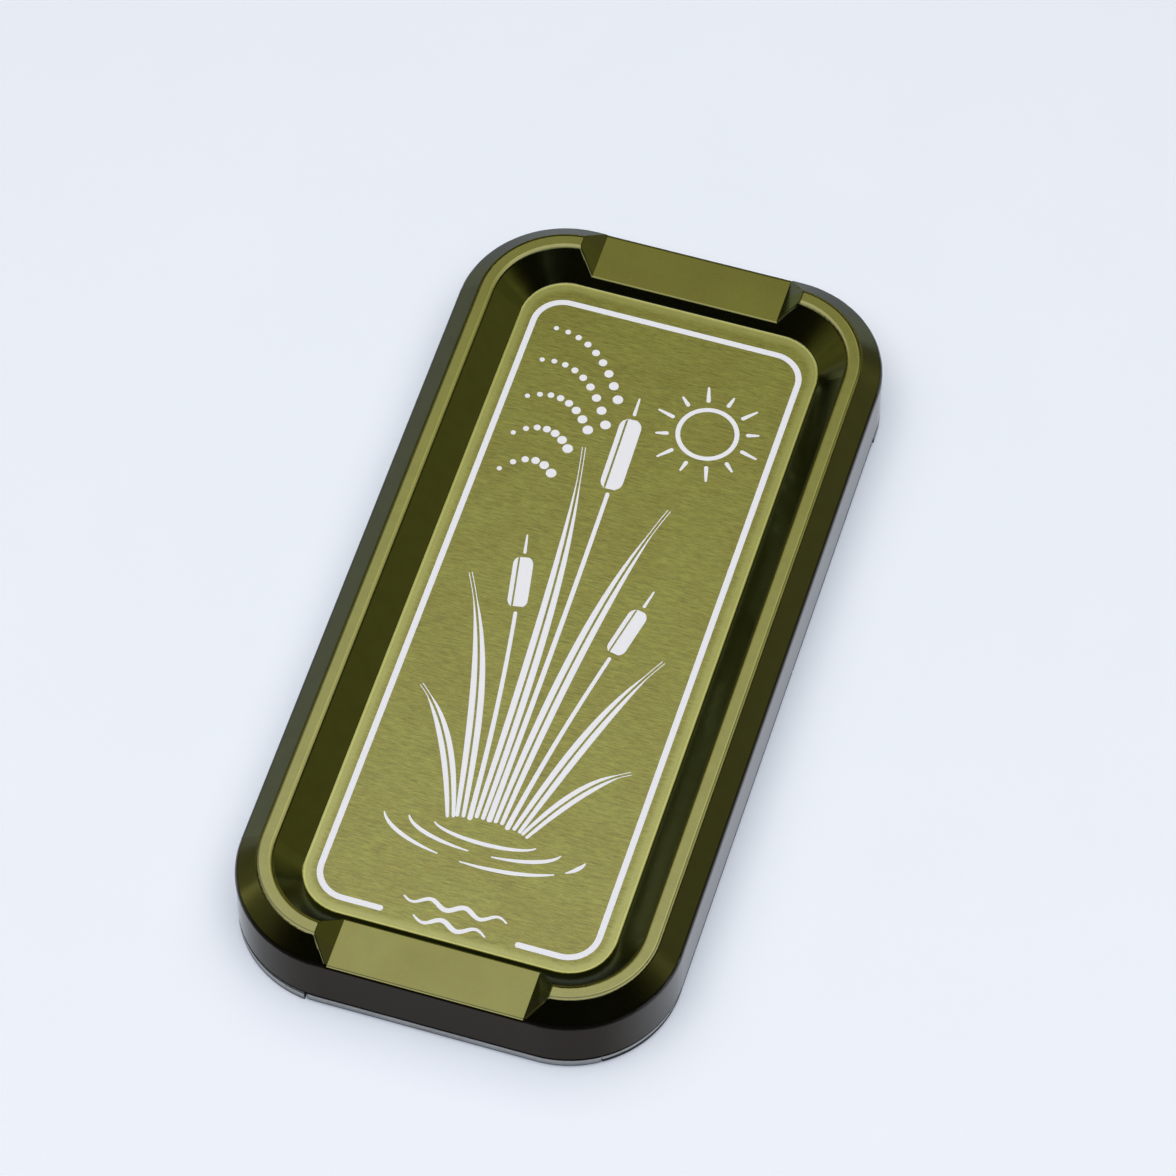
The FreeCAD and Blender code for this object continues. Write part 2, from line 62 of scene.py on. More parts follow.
LID_LOW, LID_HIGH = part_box("lid_shell")
CORNER_RADIUS = 16.2
CORNER_X = LID_HIGH.x / MM - CORNER_RADIUS
CORNER_Y = LID_HIGH.y / MM - CORNER_RADIUS
LID_FOOT = LID_LOW.z / MM
RIM_TOP = LID_HIGH.z / MM
BEVEL_FOOT = RIM_TOP - 2.67
PANEL_TOP = RIM_TOP - 3.87
PANEL_EDGE = 9.38
CREST_LINE = 3.52
RIM_INNER_LINE = 4.90

FINE_BUMP = 0.02 * MM
SKIN_BUMP = 0.05 * MM


def color_property(name, description, default):
    return FloatVectorProperty(name=name, description=description, default=default, size=3, min=0.0, max=1.0,
                               subtype="COLOR")


def length_property(name, description, millimetres):
    return FloatProperty(name=name, description=description, default=millimetres * MM, unit="LENGTH",
                         subtype="DISTANCE", precision=5)


class FlyBoxFinish(bpy.types.PropertyGroup):
    """Colours of the box's own finishes."""

    olive: color_property("Olive", "Anodised flats of the lid and tray", (0.286, 0.282, 0.058))
    olive_brown: color_property("Olive brown", "Cloudy patches in the brushed panel", (0.266, 0.250, 0.050))
    olive_pale: color_property("Olive pale", "Paler edge of the panel", (0.39, 0.388, 0.112))
    olive_rim: color_property("Olive rim", "Satin top of the rim", (0.290, 0.282, 0.077))
    # Slope and bevel are darker copies of the olive: painted shade on the lid's sloping faces.
    slope: color_property("Slope", "Smooth recess walls and notch cheeks", (0.097, 0.110, 0.032))
    bevel: color_property("Bevel", "Smooth outer bevel", (0.080, 0.085, 0.034))
    side: color_property("Side", "Dark outer wall of the lid", (0.019, 0.0128, 0.0034))
    # Side edge: near-black painted shade, a painted contact shadow at the outer wall's foot and painted shade
    # on the rounding at its top.
    side_shade: color_property("Side edge", "Foot and top edge of the outer wall", (0.004, 0.003, 0.002))
    lid_dust: color_property("Lid dust", "Specks on the lid", (0.75, 0.75, 0.72))
    inlay: color_property("Inlay", "White lines on the panel", (0.95, 0.957, 0.955))
    seal: color_property("Seal", "Grey strip round the foot", (0.41, 0.44, 0.52))
    # Seal edge: the painted shadow at the strip's top edge and foot, and the colour of its real dark joints.
    seal_shade_and_joints: color_property("Seal edge", "Edges and joints of the strip", (0.018, 0.016, 0.016))
    mat: color_property("Mat", "Ribbed silicone mat in the tray", (0.085, 0.088, 0.080))
    sheet: color_property("Sheet", "Rubber sheet in the lid", (0.030, 0.030, 0.031))
    rubber_dust: color_property("Rubber dust", "Specks on the mat and the sheet", (0.45, 0.45, 0.44))
    steel: color_property("Steel", "Hinge and screws", (0.48, 0.47, 0.455))
    steel_dust: color_property("Steel dust", "Specks on the hinge", (0.5, 0.5, 0.48))
    nickel: color_property("Nickel", "Plated magnets", (0.60, 0.58, 0.54))


class FlyBoxInlay(bpy.types.PropertyGroup):
    """Sizes of the white lines on the panel."""

    border_width: length_property("Border width", "Width of the border line", 0.9)
    border_half_x: length_property("Border half width", "Border line from the panel's middle", 20.16)
    border_half_y: length_property("Border half length", "Border line from the panel's middle", 52.98)
    border_radius: length_property("Border corner", "Radius of the border's corners", 4.4)
    thickness: length_property("Thickness", "How far the lines stand above the panel", 0.015)


class FlyBoxStage(bpy.types.PropertyGroup):
    """Camera, light and table."""

    camera_place: FloatVectorProperty(name="Camera place", description="Where the camera stands", size=3,
                                      default=(0.146498, -0.452554, 0.740454), unit="LENGTH", subtype="XYZ")
    camera_turn: FloatVectorProperty(name="Camera turn", description="How the camera is turned", size=3,
                                     default=tuple(map(radians, (33.32249, 0.16866, 17.32263))),
                                     unit="ROTATION", subtype="EULER")
    lens: FloatProperty(name="Lens", description="Focal length on a 36 mm sensor", default=187.714,
                        unit="CAMERA")
    softbox: FloatProperty(name="Softbox", description="Brightness of the overhead softbox", default=1.04)
    key_power: FloatProperty(name="Key", description="Power of the overhead lamp", default=2.7, unit="POWER")
    table: color_property("Table", "Pale table top", (0.855, 0.865, 0.80))
    table_far: color_property("Table far", "Glow of the table far from the box", (0.66, 0.71, 0.79))
    table_glow: color_property("Table glow", "Glow of the table round the box", (0.135, 0.17, 0.258))


def is_socket(value):
    return isinstance(value, bpy.types.NodeSocket)


def feed(socket, value):
    """Link an output to a socket, or set the socket's own value."""
    if is_socket(value):
        socket.id_data.links.new(value, socket)
    else:
        socket.default_value = value


def feed_all(sockets, **values):
    """Feed inputs by their names, with underscores for blanks."""
    for name, value in values.items():
        feed(sockets[name.replace("_", " ")], value)


def add(tree, kind, settings=None, **values):
    """Add a node with its settings; values go to its inputs."""
    node = tree.nodes.new(kind)
    for name, value in (settings or {}).items():
        setattr(node, name, value)
    feed_all(node.inputs, **values)
    return node


def tree_of(*values):
    """The node tree of the first socket among some values."""
    return next(value.id_data for value in values if is_socket(value))


def calc(operation, *values, clamp=False):
    node = add(tree_of(*values), "ShaderNodeMath", {"operation": operation, "use_clamp": clamp})
    for socket, value in zip(node.inputs, values):
        feed(socket, value)
    return node.outputs[0]


def times(first, second):
    return calc("MULTIPLY", first, second)


def plus(base, value, amount):
    """A base value plus another value times an amount."""
    return calc("MULTIPLY_ADD", value, amount, base)


def weigh(base, outputs, amounts):
    """A base value plus some of a group's outputs, each times its own amount."""
    for name, amount in amounts.items():
        base = plus(base, outputs[name], amount)
    return base


def swing(base, noises, amounts):
    """A base value plus how far each noise lies from its middle, times its own amount."""
    for name, amount in amounts.items():
        base = plus(base, calc("SUBTRACT", noises[name], 0.5), amount)
    return base


def ramp(value, low, high, start=0.0, end=1.0):
    """A smooth step from start to end while value goes from low to high."""
    node = add(value.id_data, "ShaderNodeMapRange", {"interpolation_type": "SMOOTHSTEP"}, Value=value,
               From_Min=low, From_Max=high, To_Min=start, To_Max=end)
    return node.outputs["Result"]


def fall(value, low, high):
    """A smooth step down from 1 to 0."""
    return ramp(value, low, high, 1.0, 0.0)


def rgba(color):
    return (*color, 1.0)


def mix(factor, first, second):
    """A blend of two colours, each a socket or three numbers."""
    node = add(factor.id_data, "ShaderNodeMix", {"data_type": "RGBA"})
    feed(node.inputs["Factor"], factor)
    for index, color in ((6, first), (7, second)):
        feed(node.inputs[index], color if is_socket(color) else rgba(color))
    return node.outputs[2]


def vector_math(operation, first, second):
    node = add(first.id_data, "ShaderNodeVectorMath", {"operation": operation})
    feed(node.inputs[0], first)
    feed(node.inputs[1], second)
    return node.outputs


def scaled(vector, factor):
    """A vector or colour times one number."""
    node = add(tree_of(vector, factor), "ShaderNodeVectorMath", {"operation": "SCALE"}, Vector=vector,
               Scale=factor)
    return node.outputs["Vector"]


def coordinates(tree, kind):
    return add(tree, "ShaderNodeTexCoord").outputs[kind]


def object_mm(tree):
    """Object coordinates in millimetres."""
    return scaled(coordinates(tree, "Object"), 1.0 / MM)


def axes_of(vector):
    return add(vector.id_data, "ShaderNodeSeparateXYZ", Vector=vector).outputs


def noise(vector, scale, detail=2.0, roughness=0.5, distortion=0.0):
    node = add(vector.id_data, "ShaderNodeTexNoise", Vector=vector, Scale=scale, Detail=detail,
               Roughness=roughness, Distortion=distortion)
    return node.outputs["Fac"]


def number_socket(tree, label, side):
    return tree.interface.new_socket(name=label.replace("_", " "), in_out=side, socket_type="NodeSocketFloat")


def new_group(name, **inputs):
    """An empty shader group with number inputs; returns it with the inputs' sockets."""
    tree = bpy.data.node_groups.new(name, "ShaderNodeTree")
    for label, default in inputs.items():
        number_socket(tree, label, "INPUT").default_value = default
    return tree, add(tree, "NodeGroupInput").outputs


def close_group(tree, **outputs):
    """Give a group its number outputs."""
    for label in outputs:
        number_socket(tree, label, "OUTPUT")
    add(tree, "NodeGroupOutput", **outputs)


# From where to where each zone of the lid fades: facings as parts of the normal, the rest in millimetres.
ZONES = {
    "flat facing": (0.78, 0.95),
    "long side facing": (0.5, 1.0),
    "side top facing": (0.08, 0.35),
    "wall inset": (0.38, 0.50),
    "bevel inset": (3.3, 3.6),
    "band inset": (PANEL_EDGE + 0.7, PANEL_EDGE + 1.9),
    "notch edge inset": (0.24, 0.34),
    "wall level": (BEVEL_FOOT + 0.24, BEVEL_FOOT + 0.40),
    "wall foot level": (LID_FOOT + 0.18, LID_FOOT + 0.40),
    "panel level": (PANEL_TOP - 0.3, PANEL_TOP - 0.2),
    "slope level": (PANEL_TOP + 0.02, PANEL_TOP + 0.06),
    "rim level": (RIM_TOP - 0.2, RIM_TOP - 0.05),
    "rim edge level": (RIM_TOP - 0.25, RIM_TOP - 0.10),
    "left part": (-27.0, -23.0),
    "right part": (21.0, 26.0),
}
# Inset and half width of the painted highlight and painted shade lines along the lid's edges.
PAINTED_EDGE_LINES = {
    "crest": (CREST_LINE + 0.10, 0.10),
    "crest shade": (CREST_LINE - 0.10, 0.12),
    "rim inner": (RIM_INNER_LINE, 0.10),
    "panel edge": (PANEL_EDGE + 0.24, 0.16),
    "notch shade": (0.44, 0.12),
}
LINE_CORE = 0.35
LINE_SHADE = 1.6


def line_at(value, place, half):
    """1 where a value is at a place, and 0 from half a line's width away."""
    away = calc("ABSOLUTE", calc("SUBTRACT", value, place))
    return fall(away, LINE_CORE * half, half)


def lid_inset(axes):
    """How far a point lies in from the lid's outline, seen from above."""
    past = []
    for axis, corner in (("X", CORNER_X), ("Y", CORNER_Y)):
        beyond = calc("SUBTRACT", calc("ABSOLUTE", axes[axis]), corner)
        past.append(calc("MAXIMUM", beyond, 0.0))
    reach = calc("SQRT", plus(times(past[0], past[0]), past[1], past[1]))
    return calc("SUBTRACT", CORNER_RADIUS, reach)


def make_zone_group():
    """Where a point lies on the lid, from its inset, its level and the way it faces."""
    tree, _ = new_group("Lid zones")
    axes = axes_of(object_mm(tree))
    facing = axes_of(coordinates(tree, "Normal"))
    inset = lid_inset(axes)
    level = axes["Z"]
    flat = ramp(calc("ABSOLUTE", facing["Z"]), *ZONES["flat facing"])
    steep = calc("SUBTRACT", 1.0, flat)
    outer = times(steep, fall(inset, *ZONES["wall inset"]))
    side = times(outer, fall(level, *ZONES["wall level"]))
    lengthwise = ramp(calc("ABSOLUTE", facing["X"]), *ZONES["long side facing"])
    panel = times(ramp(level, *ZONES["panel level"]), fall(level, *ZONES["slope level"]))

    # Painted highlight lines: on the rim's crest on the right side only, on the rim's inner edge on the left
    # side only, along the panel's edge and at the notch floor's outer edge. Painted shade lines: beside the
    # crest and on the notch floor.
    on_top = ramp(level, *ZONES["rim edge level"])
    crest = times(line_at(inset, *PAINTED_EDGE_LINES["crest"]), ramp(axes["X"], *ZONES["right part"]))
    inner = times(line_at(inset, *PAINTED_EDGE_LINES["rim inner"]), fall(axes["X"], *ZONES["left part"]))
    bright = times(calc("ADD", crest, inner), on_top)
    bright = plus(bright, panel, line_at(inset, *PAINTED_EDGE_LINES["panel edge"]))
    bright = plus(bright, flat, fall(inset, *ZONES["notch edge inset"]))
    dark = times(on_top, line_at(inset, *PAINTED_EDGE_LINES["crest shade"]))
    dark = plus(dark, flat, line_at(inset, *PAINTED_EDGE_LINES["notch shade"]))

    # Side foot and Side top mark where the painted shade lies on the outer wall; Edge lines carries the
    # painted highlight and painted shade lines.
    close_group(
        tree, Side=side, Panel=panel, Flat=flat,
        Side_foot=times(side, fall(level, *ZONES["wall foot level"])),
        Side_top=times(side, ramp(facing["Z"], *ZONES["side top facing"])),
        Long_side=times(side, lengthwise),
        Bevel=times(steep, fall(inset, *ZONES["bevel inset"])),
        Panel_band=times(panel, fall(inset, *ZONES["band inset"])),
        Rim=ramp(level, *ZONES["rim level"]),
        Edge_lines=plus(bright, dark, -LINE_SHADE))


def stretched_mm(tree, given, stretch):
    """Millimetres drawn out along X or Y, whichever the group is given, by a stretch."""
    shrink = 1.0 / stretch - 1.0
    scale = add(tree, "ShaderNodeCombineXYZ", X=plus(1.0, given["Along X"], shrink),
                Y=plus(1.0, given["Along Y"], shrink), Z=1.0)
    return vector_math("MULTIPLY", object_mm(tree), scale.outputs["Vector"])["Vector"]


# Stretch along the brushing, then scale, detail, roughness and distortion of the noise.
BRUSHING = {
    "Streaks": (40.0, 2.6, 3.0, 0.6, 0.0),
    "Strokes": (7.0, 4.4, 3.0, 0.62, 0.5),
    "Scratches": (14.0, 9.0, 2.0, 0.7, 0.0),
}


def make_brushed_group():
    """Brushing along X or Y: long faint streaks, short wavy strokes and fine scratches."""
    tree, given = new_group("Brushed grain", Along_X=1.0, Along_Y=0.0)
    marks = {}
    for name, (stretch, *look) in BRUSHING.items():
        marks[name] = noise(stretched_mm(tree, given, stretch), *look)
    close_group(tree, **marks)


def make_grain_group():
    """Even fine grain of a blasted or moulded skin, clouds a few millimetres across and slow patches."""
    tree, given = new_group("Fine grain", Scale=8.0)
    place = object_mm(tree)
    close_group(tree, Grain=noise(place, given["Scale"], detail=2.0, roughness=0.6),
                Clouds=noise(place, 0.4, detail=3.0, roughness=0.55),
                Patches=noise(place, 0.11, detail=2.0, roughness=0.5))


def make_dust_group():
    """Sparse pale specks, none in about half of the cells."""
    bare_cells = 0.55
    tree, given = new_group("Dust", Spacing=4.0, Speck=0.1)
    cells = add(tree, "ShaderNodeTexVoronoi", {"voronoi_dimensions": "3D", "feature": "F1"},
                Vector=object_mm(tree), Scale=calc("DIVIDE", 1.0, given["Spacing"])).outputs
    shade = add(tree, "ShaderNodeSeparateColor", Color=cells["Color"]).outputs
    distance = times(cells["Distance"], given["Spacing"])
    near = calc("LESS_THAN", distance, times(given["Speck"], shade["Red"]))
    chosen = calc("GREATER_THAN", shade["Green"], bare_cells)
    close_group(tree, Specks=times(near, chosen))


GROUP_MAKERS = {
    "Lid zones": make_zone_group,
    "Brushed grain": make_brushed_group,
    "Fine grain": make_grain_group,
    "Dust": make_dust_group,
}


def use_group(tree, name, **values):
    """Add a shared group, made at its first use; returns its outputs."""
    if name not in bpy.data.node_groups:
        GROUP_MAKERS[name]()
    node = add(tree, "ShaderNodeGroup", {"node_tree": bpy.data.node_groups[name]}, **values)
    return node.outputs


def new_material(name, **constants):
    """A material with one principled shader; constants go straight to the shader's sockets."""
    material = bpy.data.materials.new(name)
    material.use_nodes = True
    tree = material.node_tree
    shader = tree.nodes["Principled BSDF"]
    feed_all(shader.inputs, **constants)
    return material, tree, shader.inputs


def feed_skin(sockets, color, roughness, height, strength, distance=FINE_BUMP):
    """Feed a surface's colour, its roughness and a bump from a height."""
    bump = add(height.id_data, "ShaderNodeBump", Strength=strength, Distance=distance, Height=height)
    feed_all(sockets, Base_Color=color, Roughness=roughness, Normal=bump.outputs["Normal"])


def olive_anodise(finish):
    """Lid: olive anodised metal, brushed on the panel, satin on the rim, and dark on the outer wall; a darker
    olive on the sloping faces, near-black at the wall's foot and top, and fine bright and dark lines along
    the edges are painted light and shade.
    """
    material, tree, sockets = new_material("olive_anodise", Coat_Roughness=0.16, Coat_IOR=1.5, IOR=1.175,
                                           Specular_Tint=(0.27, 0.275, 0.29, 1.0))
    zones = use_group(tree, "Lid zones")
    brushed = use_group(tree, "Brushed grain", Along_X=1.0)
    grain = use_group(tree, "Fine grain", Scale=4.2)
    specks = use_group(tree, "Dust", Spacing=15.0, Speck=0.15)["Specks"]
    brushed_part = calc("SUBTRACT", zones["Panel"], zones["Panel band"])

    uneven = times(calc("ADD", grain["Patches"], grain["Clouds"]), 0.5)
    flats = mix(ramp(uneven, 0.40, 0.60), finish.olive, finish.olive_brown)
    flats = mix(zones["Rim"], flats, finish.olive_rim)
    flats = mix(zones["Panel band"], flats, finish.olive_pale)
    # Painted shade: the sloping faces take the darker slope and bevel copies of the olive.
    shaded_slopes = mix(zones["Bevel"], finish.slope, finish.bevel)
    olive = mix(zones["Flat"], shaded_slopes, flats)

    strokes = swing(0.0, brushed, {"Streaks": 0.3, "Strokes": 1.2, "Scratches": 1.5})
    speckle = plus(0.2, zones["Panel"], 0.4)
    lift = plus(1.0, strokes, brushed_part)
    lift = swing(lift, grain, {"Grain": speckle, "Clouds": 0.30})
    # Edge lines lighten and darken the colour: painted highlight and painted shade.
    lift = weigh(lift, zones, {"Rim": 0.12, "Panel": 0.28, "Edge lines": 0.4})

    # Painted shade: the outer wall's foot and the rounding at its top take the near-black side shade colour;
    # at the foot it is also black metal, a painted contact shadow.
    edge = calc("MAXIMUM", zones["Side foot"], zones["Side top"])
    wall = mix(edge, finish.side, finish.side_shade)
    clean = mix(zones["Side"], scaled(olive, lift), wall)

    dull = calc("MAXIMUM", ramp(zones["Side"], 0.8, 1.0), specks)
    metal = calc("SUBTRACT", 1.0, dull)
    feed(sockets["Metallic"], calc("ADD", metal, zones["Side foot"], clamp=True))

    coat = weigh(0.25, zones, {"Flat": 0.65, "Bevel": 0.25})
    coat = times(coat, calc("SUBTRACT", 1.0, zones["Side"]))
    wall_coat = plus(0.35, zones["Side top"], 0.65)
    feed(sockets["Coat Weight"], plus(coat, wall_coat, zones["Long side"]))

    rough = weigh(0.15, zones, {"Flat": 0.10, "Panel": 0.11, "Side foot": 0.6, "Side": -0.10})
    rough = swing(rough, grain, {"Grain": 0.12})
    height = plus(times(brushed["Strokes"], brushed_part), grain["Grain"], 0.25)
    feed_skin(sockets, mix(specks, clean, finish.lid_dust), rough, height, 0.25)
    return material


def tray_anodise(finish):
    """Tray: the same olive with a plain milled grain."""
    material, tree, sockets = new_material("tray_anodise", Metallic=1.0, Coat_Weight=0.6, Coat_Roughness=0.2)
    brushed = use_group(tree, "Brushed grain", Along_X=0.0, Along_Y=1.0)
    grain = use_group(tree, "Fine grain", Scale=6.0)
    cloudy = mix(ramp(grain["Patches"], 0.4, 0.65), finish.olive, finish.olive_brown)
    toned = scaled(cloudy, plus(0.82, brushed["Streaks"], 0.3))
    feed_skin(sockets, toned, plus(0.25, grain["Grain"], 0.2), brushed["Scratches"], 0.2)
    return material


def brushed_steel(finish):
    """Hinge leaves, knuckles and pin: stainless steel brushed along the hinge."""
    material, tree, sockets = new_material("brushed_steel", Metallic=1.0)
    brushed = use_group(tree, "Brushed grain", Along_X=0.0, Along_Y=1.0)
    specks = use_group(tree, "Dust", Spacing=5.0, Speck=0.12)["Specks"]
    clean = scaled(finish.steel, plus(0.75, brushed["Streaks"], 0.5))
    rough = plus(0.2, brushed["Scratches"], 0.25)
    feed_skin(sockets, mix(specks, clean, finish.steel_dust), rough, brushed["Scratches"], 0.3)
    return material


def turned_steel(finish):
    """Screws: stainless steel with a turned, slightly uneven skin."""
    material, tree, sockets = new_material("turned_steel", Metallic=1.0)
    grain = use_group(tree, "Fine grain", Scale=11.0)["Grain"]
    feed_skin(sockets, scaled(finish.steel, plus(0.7, grain, 0.5)), plus(0.18, grain, 0.2), grain, 0.15)
    return material


def plated_nickel(finish):
    """Magnets: bright plating with faint handling marks."""
    material, tree, sockets = new_material("plated_nickel", Metallic=1.0)
    grain = use_group(tree, "Fine grain", Scale=3.0)["Grain"]
    scratches = use_group(tree, "Brushed grain", Along_X=1.0)["Scratches"]
    toned = scaled(finish.nickel, plus(0.85, grain, 0.3))
    feed_skin(sockets, toned, plus(0.08, scratches, 0.22), grain, 0.06)
    return material


def white_inlay(finish):
    """Lines on the panel: matt white with a slightly open, etched grain."""
    material, tree, sockets = new_material("white_inlay", Specular_IOR_Level=0.3)
    grain = use_group(tree, "Fine grain", Scale=9.0)["Grain"]
    feed_skin(sockets, scaled(finish.inlay, plus(0.93, grain, 0.14)), plus(0.55, grain, 0.25), grain, 0.2)
    return material


def rubber(name, color, dust, scale, roughness, bump, contrast):
    """Moulded rubber or silicone: fine skin grain, slow patches and a little dust."""
    material, tree, sockets = new_material(name, Specular_IOR_Level=0.45)
    grain = use_group(tree, "Fine grain", Scale=scale)
    specks = use_group(tree, "Dust", Spacing=3.0, Speck=0.09)["Specks"]
    tone = swing(1.0, grain, {"Grain": contrast, "Patches": 0.25})
    rough = swing(roughness, grain, {"Grain": 0.3})
    feed_skin(sockets, mix(specks, scaled(color, tone), dust), rough, grain["Grain"], bump, SKIN_BUMP)
    return material


# Places of the strip's joints and the way the strip runs there.
SEAL_JOINTS = (
    ((-17.5, -65.4, 0.0), (1.0, 0.0, 0.0)),
    ((32.0, 6.25, 0.0), (0.0, 1.0, 0.0)),
    ((32.0, 47.9, 0.0), (0.0, 1.0, 0.0)),
)
SEAL_UPRIGHT = (0.5, 0.85)
# Levels in millimetres of the painted shadow at the strip's top and of the painted light that pales its upper
# half, the tones of that light, and the fade of the painted shadow at the foot.
SEAL_TOP_SHADOW = (1.55, 1.72)
SEAL_PALE_FROM = (0.8, 1.3)
SEAL_TONES = (0.85, 1.2)
SEAL_FOOT_SHADOW_FADE = 0.1
JOINT_LINE = (0.16, 0.30)
JOINT_REACH = 4.0


def seal_rubber(name, finish, foot):
    """Grey strip: paler in its upper half as painted light, with painted shadow at its top edge under the lid
    and below its foot line, and dark at its joints.
    """
    material, tree, sockets = new_material(name, Specular_IOR_Level=0.1)
    axes = axes_of(object_mm(tree))
    facing = axes_of(coordinates(tree, "Normal"))
    upright = fall(calc("ABSOLUTE", facing["Z"]), *SEAL_UPRIGHT)
    painted_top_shadow = times(upright, ramp(axes["Z"], *SEAL_TOP_SHADOW))
    below = fall(axes["Z"], foot - SEAL_FOOT_SHADOW_FADE, foot + SEAL_FOOT_SHADOW_FADE)
    # Painted shadow at the top edge and below the foot line; the joints' dark lines join it below.
    dark = calc("MAXIMUM", painted_top_shadow, below)
    plan = add(tree, "ShaderNodeCombineXYZ", X=axes["X"], Y=axes["Y"], Z=0.0).outputs["Vector"]
    for joint, along in SEAL_JOINTS:
        offset = vector_math("SUBTRACT", plan, joint)["Vector"]
        beside = calc("ABSOLUTE", vector_math("DOT_PRODUCT", offset, along)["Value"])
        close = calc("LESS_THAN", vector_math("DISTANCE", plan, joint)["Value"], JOINT_REACH)
        dark = calc("MAXIMUM", dark, times(fall(beside, *JOINT_LINE), close))
    grain = use_group(tree, "Fine grain", Scale=6.0)
    # Painted light: the strip grows paler towards its top.
    tone = ramp(axes["Z"], *SEAL_PALE_FROM, *SEAL_TONES)
    tone = swing(tone, grain, {"Grain": 0.35, "Patches": 0.5})
    color = mix(dark, scaled(finish.seal, tone), finish.seal_shade_and_joints)
    feed_skin(sockets, color, swing(0.5, grain, {"Grain": 0.3}), grain["Grain"], 0.3, SKIN_BUMP)
    return material


def dress(nodes, material):
    """Give CAD nodes their finish."""
    for node in nodes:
        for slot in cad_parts[node].material_slots:
            slot.material = material


def new_object(name, data):
    """An object in the scene."""
    thing = bpy.data.objects.new(name, data)
    bpy.context.scene.collection.objects.link(thing)
    return thing


def new_piece(name, mesh_maker, material, body):
    """A piece from a filled bmesh, riding on a body."""
    mesh = bpy.data.meshes.new(name)
    mesh_maker.to_mesh(mesh)
    mesh_maker.free()
    piece = new_object(name, mesh)
    mesh.materials.append(material)
    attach(piece, body)
    return piece


WELD = 1e-6
SAME_PLANE = radians(0.4)
SHARP_EDGE = radians(25)
SHADED_SHARP = radians(40)


def eased_copy(node, radius, material, body, segments=3):
    """A copy of a CAD node with its sharp edges rounded by some millimetres; it stands for the node."""
    shape = bmesh.new()
    shape.from_mesh(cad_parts[node].data)
    bmesh.ops.remove_doubles(shape, verts=shape.verts, dist=WELD)
    bmesh.ops.dissolve_limit(shape, angle_limit=SAME_PLANE, verts=shape.verts, edges=shape.edges)
    sharp = [edge for edge in shape.edges
             if len(edge.link_faces) == 2 and edge.calc_face_angle() > SHARP_EDGE]
    bmesh.ops.bevel(shape, geom=sharp, offset=radius * MM, offset_type="OFFSET", segments=segments,
                    profile=0.5, affect="EDGES", clamp_overlap=True)
    for face in shape.faces:
        face.smooth = True
    piece = new_piece(f"{node}_eased", shape, material, body)
    piece.data.set_sharp_from_angle(angle=SHADED_SHARP)
    weighted = piece.modifiers.new("flat_faces", "WEIGHTED_NORMAL")
    weighted.keep_sharp = True
    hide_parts(node)


def curve_points(controls, count):
    """Points and unit tangents along a cubic Bezier curve given by four corner points."""
    a, b, c, d = (Vector(point) for point in controls)
    spots = []
    for i in range(count):
        t = i / (count - 1)
        s = 1 - t
        place = a * s ** 3 + b * (3 * s * s * t) + c * (3 * s * t * t) + d * t ** 3
        along = (b - a) * (s * s) + (c - b) * (2 * s * t) + (d - c) * (t * t)
        spots.append((place, along.normalized()))
    return spots


def circle_points(x, y, radius, steps):
    turns = [2 * pi * i / steps for i in range(steps)]
    return [Vector((x + radius * cos(turn), y + radius * sin(turn))) for turn in turns]


def left_of(along):
    return Vector((-along.y, along.x))


def ribbon(spots, widths, offset=None):
    """Left and right edges of a stroke, with its width and its offset to the left at each point."""
    left, right = [], []
    for i, (place, along) in enumerate(spots):
        shift = left_of(along) * (offset[i] if offset else 0.0)
        side = left_of(along) * (widths[i] / 2)
        left.append(place + shift + side)
        right.append(place + shift - side)
    return left, right


def cap(place, along, radius, steps=8):
    """Half circle round a stroke's end, from its left side to its right."""
    side = left_of(along)
    points = []
    for i in range(1, steps):
        turn = pi * i / steps
        points.append(place + side * (radius * cos(turn)) + along * (radius * sin(turn)))
    return points


